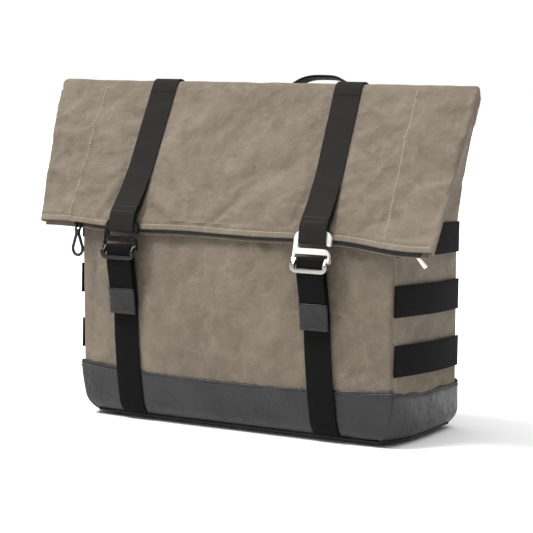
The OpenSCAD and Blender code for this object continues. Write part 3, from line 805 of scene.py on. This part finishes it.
holes = bolts["dims"]
bolt_spots = [(sx * holes["spacing_x_mm"] / 2, 1000 * bolts["pos_m"][2] + sz * holes["spacing_y_mm"] / 2)
              for sx in (-1, 1) for sz in (-1, 1)]
drill(back_panel, bolt_spots, holes["hole_r_mm"] + 0.8, HALF_D - 12, HALF_D + 6)


def base_outline(z, off, n=22):
    """Closed outline of the walls at height z, seen from above."""
    front = [front_raw(u, z, off) for u in steps(-1, 1, n)]
    right = [side_raw(t, z, off) for t in steps(-1, 1, 10)][1:-1]
    back = [back_raw(u, z, off) for u in steps(-1, 1, n)]
    left = [flipped(side_raw)(t, z, off) for t in steps(1, -1, 10)][1:-1]
    return front + right + back + left


def base_panel():
    rim = base_outline(BASE_T, 0)
    n = len(rim)
    points, faces = [], []
    for scale, z in ((1.0, BASE_T + 0.2), (1.0, 0.6), (0.97, 0.0), (0.6, 0.25), (0.25, 0.3)):
        points += [Vector((p.x * scale, p.y * scale, z)) for p in rim]
    for j in range(4):
        faces += [(j * n + i, j * n + (i + 1) % n, (j + 1) * n + (i + 1) % n, (j + 1) * n + i) for i in range(n)]
    faces.append(tuple(range(4 * n, 5 * n)))
    faces.append(tuple(reversed(range(n))))
    uvs = [(p.x * MM, p.y * MM) for p in points]
    piece = new_piece("base_canvas", points, faces, "bag", CANVAS, uvs)
    outward(piece)
    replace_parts(piece, "bottom_panel")


base_panel()
welt_path = base_outline(6, 1.6, 30)
welt = tube("base_piping", welt_path + welt_path[:1], 1.7, "bag", LEATHER_TRIM, closed=True)
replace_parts(welt, "base_welt")

# ---------------------------------------------------------------- leather


def band_height(u):
    return 64 + 8 * u * u


def leather_row(v, top):
    """Height on a leather panel: v runs from 0 at its foot to 1 at its top edge."""
    foot = 7.5
    return foot + (top - foot) * v


def rolled(v):
    """Thickness of the leather: a turned edge and a stitched welt below it."""
    edge = 1.1 * fade(v, 0.0, 0.03) * (1 - fade(v, 0.985, 1.0))
    welt_line = 0.9 * math.exp(-((v - 0.93) / 0.018) ** 2)
    return 0.9 + edge + welt_line


band_vs = steps(0, 0.88, 22) + steps(0.89, 1.0, 18)


def front_leather(u, v):
    z = leather_row(v, band_height(u))
    p = front_at(u, z)
    wave = ripple(p.x, z, 55, 9.9, 0.9) * fade(v, 0.05, 0.3) * (1 - fade(v, 0.7, 0.9)) * (1 - fade(abs(u), 0.9, 1))
    return front_at(u, z, rolled(v) + wave - 0.9 * fade(abs(u), 0.992, 1.0))


def back_leather(u, v):
    return back_at(u, leather_row(v, 62), rolled(v) * 0.8 - 0.6 * fade(abs(u), 0.992, 1.0))


def side_leather(t, v):
    z = leather_row(v, 60 + 7 * fade(-t, 0.0, 1.0) - 2 * fade(t, 0, 1))
    return side_at(t, z, rolled(v) + 0.2 - 0.9 * fade(abs(t), 0.98, 1.0))


for name, at, us, node in (
        ("front_band", front_leather, front_us, "front_leather_band"),
        ("back_band", back_leather, steps(-1, 1, 60), "back_leather_band"),
        ("right_guard", side_leather, gusset_ts, "right_leather_guard"),
        ("left_guard", flipped(side_leather), list(reversed(gusset_ts)), "left_leather_guard")):
    half = HALF_D if "guard" in name else HALF_W
    panel = sheet_piece(name, at, us, band_vs, 1.4, "bag", LEATHER,
                        uv_at=lambda u, v, half=half: (u * half * MM, v * 0.06))
    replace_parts(panel, node)


def corner_piping(sx, sy):
    """A leather-covered cord in a corner seam of the base, up to the top of the leather."""
    path = []
    for z in [6, 9, 13, 18, 24, 34, 46, 58, 70 if sy < 0 else 60]:
        p = side_raw(sy, z, 0.6)
        path.append((sx * p.x, p.y, z))
    return tube("corner_piping_%s_%s" % ("right" if sx > 0 else "left", "front" if sy < 0 else "back"),
                path, 1.5, "bag", LEATHER_TRIM, sides=8, spacing=3)


for sx in (-1, 1):
    for sy in (-1, 1):
        corner_piping(sx, sy)


def leather_stitches():
    rows = []
    for drop in (0.965, 0.885):
        rows.append([(front_leather(u, drop), (0, -1, 0.05)) for u in steps(-0.985, 0.985, 90)])
        rows.append([(back_leather(u, drop), (0, 1, 0)) for u in steps(-0.985, 0.985, 60)])
        for sx in (-1, 1):
            row = [side_leather(t, drop) for t in steps(-0.96, 0.96, 30)]
            rows.append([((sx * p.x, p.y, p.z), (sx, 0, 0)) for p in row])
    return rows


stitches("leather_stitching", leather_stitches(), "bag", DARK_THREAD, length=2.6, pitch=3.8,
         radius=0.36)


def corner_stitches():
    """Top-stitching beside the four corner seams of the canvas."""
    rows = []
    for sx in (-1, 1):
        front, rear = [], []
        for z in steps(72, 330, 60):
            p, q = side_at(-0.93, z, 0.3), side_at(0.93, z, 0.3)
            front.append(((sx * p.x, p.y, p.z), (sx, 0, 0)))
            rear.append(((sx * q.x, q.y, q.z), (sx, 0, 0)))
        rows += [front, rear]
    return rows


stitches("gusset_stitching", corner_stitches(), "bag", THREAD, radius=0.33)

# ---------------------------------------------------------------- side webbing


def side_webbing(side):
    sx = 1 if side == "right" else -1
    for k, middle in enumerate(webbing_middles()):
        foot, swell = (1.5, 2.6) if sx > 0 else (1.5, 0.5) if k == 1 else (1.0, 0.0)
        path = []
        for t in steps(-0.985, 0.985, 16):
            p = side_at(t, middle, 0)
            stand = foot + swell * math.cos(math.pi / 2 * t)
            path.append((sx * (p.x + stand), p.y, middle + 3.5 - 4 * (t + 1)))
        ribbon("%s_side_webbing_%d" % (side, k + 1), path, (0, 0, 1), WEB_W, WEB_T, "bag", DARK_WEBBING)
    return bpy.data.objects[side + "_side_webbing_1"]


for side in ("left", "right"):
    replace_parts(side_webbing(side), side + "_side_webbing")

# ---------------------------------------------------------------- flap

LEFT_DIP, RIGHT_DIP = -4.0, 7.0


def seam_x(sx, t):
    """The corner seam on the flap, on the side that sx gives."""
    return 231 if sx < 0 else 218 + 0.025 * t


def half_width(t, sx=-1):
    """The flap's reach t down from the fold, on the side that sx gives."""
    top, hem = (FLAP_TOP + LEFT_WING, HEM_LEFT) if sx < 0 else (FLAP_TOP, HEM_RIGHT)
    return top + (hem - top) * min(1, max(0, t / FLAP_L))


def hem_line(x):
    """How far down the flap its hem is at x."""
    return FLAP_L + LEFT_DIP * fade(-x, 120, 270) + RIGHT_DIP * fade(x, 160, 262) + 0.8 * math.sin(x / 31.0)


FLAP_FOLDS = scatter(3, 34, 290, 15, 190, 30, 1.8) + [
    ((-262, 30), (-205, 92), 10, 3.0), ((-300, 60), (-240, 70), 9, -2.4), ((-285, 120), (-232, 160), 10, 2.6),
    ((-215, 20), (-180, 110), 13, 2.4), ((-205, 150), (-180, 190), 9, -2.2), ((-110, 25), (-70, 90), 15, -2.4),
    ((-60, 60), (-20, 150), 17, 2.2), ((10, 20), (50, 70), 13, -2.0), ((75, 110), (40, 180), 13, 2.0),
    ((100, 40), (80, 90), 11, 1.8), ((185, 30), (205, 130), 11, -2.4), ((240, 20), (262, 90), 10, 2.6),
    ((280, 60), (240, 150), 11, -2.6), ((200, 150), (182, 190), 9, 2.2), ((262, 150), (284, 190), 9, 2.0)]


def flap_lift(x, t):
    """Height of the flap's outer cloth above its plane."""
    strap = fade(strap_gap(x, down_flap(t)), WEB_W * 0.48, WEB_W * 0.95)
    free = strap * fade(t, 4, 30) * (1 - 0.65 * fade(t, FLAP_L - 26, FLAP_L - 10))
    lift = sum(crease(x, t, *f) for f in FLAP_FOLDS) + ripple(x, t, 58, 3.3, 3.0) + ripple(x, t, 23, 6.1, 0.8)
    lift += crumple(x + t * 0.4, t, 52, 9.4, 4.2) + crumple(x, t, 27, 1.4, 1.2)
    puff = 1.6 * math.sin(math.pi * min(1, t / FLAP_L)) * strap
    d = abs(x) - seam_x(x, t)
    seam = -1.6 * math.exp(-((d + 1) / 1.5) ** 2) + 1.0 * math.exp(-((d - 5) / 3.5) ** 2)
    hem = 0.6 * fade(t, FLAP_L - 15, FLAP_L - 12) - 1.0 * math.exp(-((t - FLAP_L + 7) / 1.6) ** 2)
    over = ripple(x, t, 30, 2.9, 1.3) * strap * (1 - fade(t, 12, 45))
    return free * lift * 0.8 + puff + seam * fade(t, 2, 20) + hem + over


def throat_back_y(z):
    return corners(z)[2]


def fold_rows():
    """Rows over the fold, from the back of the throat to the flap: place, outward normal and half width."""
    start = [(throat_back_y(z) + 1.0, z) for z in (388, 396, 404, 411, 417)]
    turn = [(3.0, 422.5), (0.6, 428.0), (-4.2, 431.4), (-9.6, 431.6), (-13.8, 429.2)]
    path = curve_points([Vector((0, y, z)) for y, z in start + turn]
                        + [flap_at(0, t, 0) for t in (3.5, 9)], 3.0)
    rows = []
    for i, p in enumerate(path):
        ahead = (path[min(i + 1, len(path) - 1)] - path[max(i - 1, 0)]).normalized()
        wide = THROAT_HALF + 1 + (FLAP_TOP - THROAT_HALF - 2) * fade(-p.y, -3, 14)
        half = wide if p.z > THROAT_TOP or p.y < 0 else corners(p.z)[0] + 1
        rows.append((p, Vector((0, ahead.z, -ahead.y)), (half, half + LEFT_WING * fade(p.z, 404, 428))))
    return rows


def flap_section(half, back=34, n=160):
    """The flattened tube's section: (x, depth below the outer face), from inside one end to the other."""
    depth = STACK
    r = depth / 2
    bend = [(r * math.sin(a), r - r * math.cos(a)) for a in steps(0, math.pi, 8)]
    left = [(-half + back, depth), (-half + back * 0.6, depth)] + [(-half + r - s, d) for s, d in reversed(bend)]
    right = [(half - r + s, d) for s, d in bend] + [(half - back * 0.6, depth), (half - back, depth)]
    middle = [(x, 0) for x in steps(-half + r, half - r, n)][1:-1]
    return left + middle + right


def flap_shell():
    fold = fold_rows()
    ts = steps(12, FLAP_L - 16, 58) + steps(FLAP_L - 13.5, FLAP_L, 10)
    points, uvs = [], []
    run = 9 - 3.0 * (len(fold) - 1)
    for p, out, half in fold:
        t = max(0, (p - Vector((0, FOLD_Y, FOLD_Z))).dot(FLAP_DOWN)) if p.y < FOLD_Y else 0
        for x, d in flap_section(half[0]):
            x *= 1 if x > 0 else half[1] / half[0]
            lift = flap_lift(x, t) if t > 0 else ripple(x, run, 30, 2.9, 1.3) * fade(strap_gap(x, 1), 18, 36)
            points.append(Vector((x, p.y, p.z)) - out * min(d, 8.2) + out * lift * (1 - d / STACK))
            uvs.append((x * MM, (run + d) * MM))
        run += 3.0
    for t in ts:
        for x, d in flap_section(half_width(t)):
            x *= half_width(t, x) / half_width(t)
            down = t * hem_line(x) / FLAP_L
            lift = flap_lift(x, t) * (1 - d / STACK)
            gape = 2.0 * math.sin(math.pi * min(1, t / FLAP_L)) * (d / STACK)
            points.append(flap_at(x, down, lift - d + gape))
            uvs.append((x * MM, (t + d) * MM))
    columns = len(flap_section(100))
    rows = len(fold) + len(ts)
    faces = [tuple(reversed(f)) for f in grid_faces(columns, rows)]
    piece = new_piece("flap_canvas", points, faces, None, CANVAS, uvs)

    def pinned(p):
        x, t = p.x, (p - Vector((0, FOLD_Y, FOLD_Z))).dot(FLAP_DOWN)
        h = (p - Vector((0, FOLD_Y, FOLD_Z))).dot(FLAP_OUT)
        strap = strap_gap(x, down_flap(t)) < WEB_W * 0.56
        return t < 9 or t > FLAP_L - 12 or strap or h < -3 or abs(abs(x) - seam_x(x, t)) < 4
    settle(piece, pinned, 0.02, 16, 4.5)
    modify(piece, "SOLIDIFY", thickness=1.3 * MM, offset=-1, use_even_offset=True)
    bake_modifiers(piece)
    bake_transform(piece)
    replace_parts(piece, "fold_cap", "flap_outer_panel", "flap_left_gusset", "flap_right_gusset")
    return piece


flap_canvas = flap_shell()
flap_surface = surface_of(flap_canvas)


def flap_inner():
    """The flap's second layer, with its own turned hem just below the outer one."""
    us = steps(-1, 1, 100)
    ts = steps(9, FLAP_L - 8, 36) + steps(FLAP_L - 5, FLAP_L + 4.5, 8)

    def at(u, t):
        x = u * (half_width(t, u) - 7)
        down = t * hem_line(x) / FLAP_L
        hem = 0.8 * fade(t, FLAP_L - 7, FLAP_L - 4)
        return flap_at(x, down, -STACK + 1.6 + hem + 0.35 * ripple(x, t, 25, 7.7, 1.0))
    piece = sheet_piece("flap_inner_canvas", at, us, list(reversed(ts)), 1.3, "flap", CANVAS,
                        uv_at=lambda u, t: (u * FLAP_TOP * MM, t * MM))
    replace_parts(piece, "flap_inner_panel")


flap_inner()


def inner_fold():
    """The inside of the fold, where the throat's front wall becomes the flap's inner layer."""
    path = [(-7.0, 414), (-7.6, 419.5), (-8.3, 423.2), (-9.2, 424.3), (-10.0, 423.0), (-10.6, 419.2),
            (-13.2, 413.9)]
    rows = curve_points([(0, y, z) for y, z in path], 1.2)
    xs = steps(-FLAP_TOP + 8, FLAP_TOP - 8, 60)
    points = [Vector((x, p.y, p.z)) for p in rows for x in xs]
    piece = new_piece("inner_fold_canvas", points, grid_faces(len(xs), len(rows)), None, CANVAS,
                      [(p.x * MM, p.z * MM) for p in points])
    modify(piece, "SOLIDIFY", thickness=0.8 * MM, offset=0)
    bake_modifiers(piece)
    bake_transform(piece)


inner_fold()


def flap_stitches():
    out = FLAP_OUT
    hem = [(flap_at(x, hem_line(x) - 6.5), out) for x in steps(-HEM_LEFT + 6, HEM_RIGHT - 6, 190)]
    rows = [hem]
    for sx in (-1, 1):
        rows.append([(flap_at(sx * (seam_x(sx, t) + 4), t), out) for t in steps(6, FLAP_L - 10, 60)])
    return rows


stitches("flap_stitching", flap_stitches(), "flap", THREAD, length=2.6, pitch=3.9, radius=0.45,
         on=flap_surface)

# ---------------------------------------------------------------- zip

def zip_tape(name, h, show):
    """A tape of the zip, sewn behind the hem, with its edge just in sight below it."""
    lo, hi = edges("zip_tapes")

    def at(u, v):
        x = lo.x + (hi.x - lo.x) * u
        end = hem_line(x) + show + 1.6 * fade(x, 90, 220)
        return flap_at(x, end - 22 * v, h + 0.3 * ripple(x, 0, 20, 4.1, 1))
    return sheet_piece(name, at, steps(0, 1, 130), steps(0, 1, 5), 0.5, "flap", ZIP_TAPE,
                       uv_at=lambda u, v: (u * (hi.x - lo.x) * MM, v * 0.022))


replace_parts(zip_tape("zip_front_tape", -3.2, 1.0), "zip_tapes")
zip_tape("zip_rear_tape", -5.6, 2.0)
dress("zip_teeth", ZIP_TEETH)
softened("zip_stops", BLACK_METAL, 0.25, 2)
softened("zip_slider", NICKEL, 0.35)
softened("zip_pull", NICKEL, 0.45)


def zip_loop():
    """A doubled leather lace, knotted under the zip's end plate."""
    lo, hi = edges("zip_end_loop")
    x, y = (lo.x + hi.x) / 2, (lo.y + hi.y) / 2
    top, low, half = hi.z - 2.6, lo.z + 1.6, (hi.x - lo.x) / 2 - 1.9
    height = top - low
    path = [(x + 0.4, y, top)]
    for a in steps(60, 300, 14):
        r = math.radians(a)
        path.append((x + half * math.sin(r), y + 0.8 * math.sin(r),
                     low + height * 0.27 + height * 0.27 * math.cos(r)))
    path.append((x - 0.4, y, top))
    loop = tube("zip_end_lace", path, 2.0, "zip_loop", LEATHER_TRIM, sides=12)
    knot = [(x + 2.6 * math.cos(a), y + 2.0 * math.sin(a), top - 4.2 + a * 0.28)
            for a in steps(0, 3 * math.tau, 42)]
    tube("zip_end_knot", knot, 1.3, "zip_loop", LEATHER_TRIM, sides=10)
    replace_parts(loop, "zip_end_loop")


zip_loop()

# ---------------------------------------------------------------- closure straps


def hook_at(x, u, v):
    """A point on a hook: u up from its pin and v forward of its middle plane."""
    return Vector((x, PIN_Y + math.sin(HOOK_LEAN) * u - math.cos(HOOK_LEAN) * v,
                   PIN_Z + math.cos(HOOK_LEAN) * u + math.sin(HOOK_LEAN) * v))


WRAP_R = 2.2 + WEB_T / 2
LOOP_SPLIT = 130
TAIL_END = 144


def lower_path(side):
    """Up the front from the base seam, over the hook's pin, and down again as a hanging tail."""
    def place(y, z):
        return strap_at(side, down_front(z)), y, z
    run = []
    for z in (9, 13, 18, 26, 40, 60, 84, 110, 136, 160):
        inner = abs(strap_at(side, down_front(z))) - WEB_W / 2
        run.append(place(front_at(min(1, inner / corners(z)[0]), z).y - (3.0 if z < 74 else 2.2), z))
    wrap = [place(PIN_Y + WRAP_R * math.cos(a), PIN_Z + WRAP_R * math.sin(a)) for a in steps(-0.2, 3.35, 14)]
    tail = [(PIN_Y - WRAP_R, PIN_Z - 11.5), (PIN_Y - WRAP_R, PIN_Z - 21.5),
            (-116.5, 184), (-113.6, 164), (-112, TAIL_END)]
    return run + [place(-110.5, 197), place(-111.6, 213)] + wrap + [place(y, z) for y, z in tail]


def upper_path(side):
    """Down the flap, round the hook's top bar and back up under itself."""
    def on_flap(t, h):
        return flap_at(strap_at(side, down_flap(t)), t, h)

    def on_hook(u, v):
        return hook_at(strap_at(side, 0), u, v)
    over = [on_flap(t, 1.5) for t in (5, 20, 40, 80, LOOP_SPLIT - 15)]
    front = [on_flap(LOOP_SPLIT, 3.2), on_flap(150, 5.2), on_flap(168, 8.6), on_hook(42, 3.1)]
    turn = [on_hook(23 - 3 * math.sin(a), 3 * math.cos(a)) for a in steps(0, math.pi, 10)]
    behind = [on_hook(40, -2.9), on_flap(172, 2.3), on_flap(158, 1.5), on_flap(LOOP_SPLIT + 4, 1.3)]
    return over + front + turn + behind


def bar_tack(name, body, centre, across, down, out, width, rows, on):
    """Short dense rows of stitches that hold a webbing's folded end."""
    lines = []
    for s in steps(-0.5, 0.5, rows - 1):
        a = centre + down * s * 7 - across * width / 2
        b = centre + down * s * 7 + across * width / 2
        lines.append([(a, out), (b, out)])
    stitches(name, lines, body, DARK_THREAD, length=2.2, pitch=2.9, radius=0.4, on=surface_of(on))


RIGHT = Vector((1, 0, 0))
for side in ("left", "right"):
    lower = ribbon(side + "_lower_webbing", lower_path(side), RIGHT, WEB_W - 1, WEB_T, "bag", DARK_WEBBING,
                   2.0)
    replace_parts(lower, side + "_lower_strap")
    upper = ribbon(side + "_upper_webbing", upper_path(side), RIGHT, WEB_W, WEB_T, side + "_strap", WEBBING,
                   2.0)
    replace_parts(upper, side + "_upper_strap")
    tack = flap_at(strap_at(side, 0), LOOP_SPLIT + 50, 11)
    bar_tack(side + "_loop_tack", side + "_strap", tack, RIGHT, FLAP_DOWN, FLAP_OUT, 30, 2, upper)
    lo, hi = edges(side + "_rear_strap")
    x = strap_at(side, 1)
    heights = (lo.z, lo.z + 12, 240, 262, 284, 306, 328, 350, 370, 388, 402)
    climb = [(x, throat_back_y(z) + 1.2, z) for z in heights]
    climb += [(x, throat_back_y(z) + 2.6, z) for z in (412, 420) if z < THROAT_TOP]
    rear = ribbon(side + "_rear_webbing", climb + [(x, 4.6, 419), (x, 4.4, 424.5), (x, 1.5, 430.2)], RIGHT, WEB_W,
                  WEB_T, "bag", WEBBING, 2.5)
    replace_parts(rear, side + "_rear_strap")
    bridge = ribbon(side + "_fold_webbing",
                    [(x, 4.2, 425.6), (x, 1.4, 430.4), (x, -4.2, 433.4), (x, -10.2, 433.5), (x, -14.9, 430.6),
                     flap_at(x, 4, 1.7), flap_at(x, 12, 1.6)], RIGHT, WEB_W, WEB_T, None, WEBBING, 1.6)
    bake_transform(bridge)
    bar_tack(side + "_rear_tack", "bag", Vector((x, HALF_D + 2.3, lo.z + 10)), RIGHT, Vector((0, 0, -1)),
             Vector((0, 1, 0)), 32, 3, rear)


def strap_tip(side):
    """A leather cap, folded over the end of the hanging tail and stitched round its border."""
    x = strap_at(side, down_front(156))
    path = [(x, y, z) for y, z in ((-115.1, 173), (-114.2, 167), (-113.0, 157), (-112.1, 147), (-111.8, 140.5))]
    cap = ribbon(side + "_tip_leather", path, RIGHT, WEB_W + 1.4, WEB_T + 2.6, "bag", LEATHER_TRIM,
                 2.0, 0.0)
    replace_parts(cap, side + "_strap_tip")
    half = WEB_W / 2 - 2.2
    front = surface_of(cap)
    corner = [(x - half, 143.5), (x + half, 143.5), (x + half, 169.5), (x - half, 169.5), (x - half, 143.5)]
    row = []
    for (ax, az), (bx, bz) in zip(corner, corner[1:]):
        row += [((ax + (bx - ax) * s, -116, az + (bz - az) * s), (0, -1, 0.1)) for s in steps(0, 0.9, 8)]
    stitches(side + "_tip_stitching", [row], "bag", DARK_THREAD, length=1.9, pitch=2.8, radius=0.34,
             on=front)


strap_tip("left")
strap_tip("right")

# ---------------------------------------------------------------- hooks

for side, metal in (("left", BLACK_METAL), ("right", NICKEL)):
    softened(side + "_hook", metal, 0.8)
    softened(side + "_keeper", BLACK_METAL if side == "left" else DARK_NICKEL, 0.7)
    dress(side + "_hook_pin", metal)

# ---------------------------------------------------------------- handle

swing = hinge["handle_swing"]["pos_m"]
HANDLE_X, HANDLE_Y, HANDLE_Z = (1000 * c for c in swing)
HANDLE_HALF, HANDLE_RISE, HANDLE_W = 62, 65, 17


def handle():
    lift = math.radians(45)
    plane = Vector((0, math.cos(lift), math.sin(lift)))
    face = Vector((0, -math.sin(lift), math.cos(lift)))
    path = []
    for u in steps(1, -1, 18):
        e = 4 + HANDLE_RISE * (1 - abs(u) ** 3.2)
        path.append(Vector((HANDLE_X + HANDLE_HALF * u, HANDLE_Y, HANDLE_Z)) + plane * e)

    def across(s):
        """The band lies flat at its ends and turns on edge over its middle."""
        u = 1 - 2 * s
        turn = fade(1 - abs(u), 0.08, 0.5) * math.radians(62)
        apart = fade(abs(u), 0.2, 0.9)
        side = Vector((-1 if u > 0 else 1, 0, 0)) * apart - plane * (1 - apart)
        return side.normalized() * math.cos(turn) + face * math.sin(turn)
    band = ribbon("carry_handle_webbing", path, across, HANDLE_W, 3.2, "handle", WEBBING, 2.0)
    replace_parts(band, "carry_handle")


handle()
softened("handle_tabs", LEATHER_TRIM, 0.6, 2)

# ---------------------------------------------------------------- inside and back

softened("mount_plate", ALUMINIUM, 0.5, 2)
softened("plate_screws", STEEL, 0.15, 1)
for node, material in (("plate_nuts", STEEL), ("lining", LINING), ("base_board", BOARD), ("back_board", BOARD)):
    dress(node, material)

# ---------------------------------------------------------------- floor and light


def studio():
    bpy.ops.mesh.primitive_plane_add(size=1)
    floor = bpy.context.object
    floor.name = "floor"
    floor.scale = (14, 14, 1)
    look = Look("floor", roughness=0.9, base_color=(0.93, 0.93, 0.93, 1), specular_ior_level=0.1)
    floor.data.materials.append(look.material)
    world = bpy.data.worlds.new("studio")
    bpy.context.scene.world = world
    world.use_nodes = True
    nodes, links = world.node_tree.nodes, world.node_tree.links
    sky = nodes["Background"]
    sky.inputs["Color"].default_value = (1, 1, 1, 1)
    seen = nodes.new("ShaderNodeMapRange")
    seen.inputs["To Min"].default_value = 0.36
    links.new(nodes.new("ShaderNodeLightPath").outputs["Is Camera Ray"], seen.inputs["Value"])
    links.new(seen.outputs["Result"], sky.inputs["Strength"])
    bpy.context.scene.view_settings.view_transform = "Standard"
    for name, place, softness, power in (("key", (-1.1, -1.1, 2.7), 16, 2.9), ("top", (0.1, -0.3, 3.0), 70, 2.6)):
        data = bpy.data.lights.new(name, "SUN")
        data.angle = math.radians(softness)
        data.energy = power
        light = bpy.data.objects.new(name, data)
        light.rotation_euler = Vector(place).to_track_quat("Z", "Y").to_euler()
        bpy.context.scene.collection.objects.link(light)


studio()
